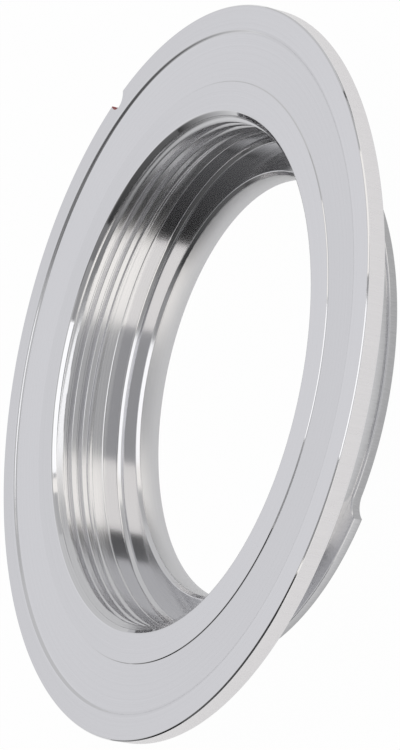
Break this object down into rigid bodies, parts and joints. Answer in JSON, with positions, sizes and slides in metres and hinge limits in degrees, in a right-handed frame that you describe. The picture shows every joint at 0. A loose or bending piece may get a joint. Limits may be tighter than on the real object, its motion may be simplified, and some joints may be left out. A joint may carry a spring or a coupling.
{
  "type": "lens mount adapter",
  "caption": "Thin flanged metal ring that joins a screw-thread lens to a bayonet camera body: threaded bore in front, bayonet lugs on a short neck behind, index notch in the rim.",
  "frame": {"origin": "on the ring's axis at its rear end, where it rests", "axes": "+Z along the axis out of the front face, +Y towards the index notch in the rim"},
  "size_m": [0.0599, 0.0598, 0.0087],
  "materials": {
    "chrome_plate": "bright chrome plate over turned brass"
  },
  "bodies": {
    "root": {"adapter_ring": "chrome_plate"}
  },
  "joints": []
}
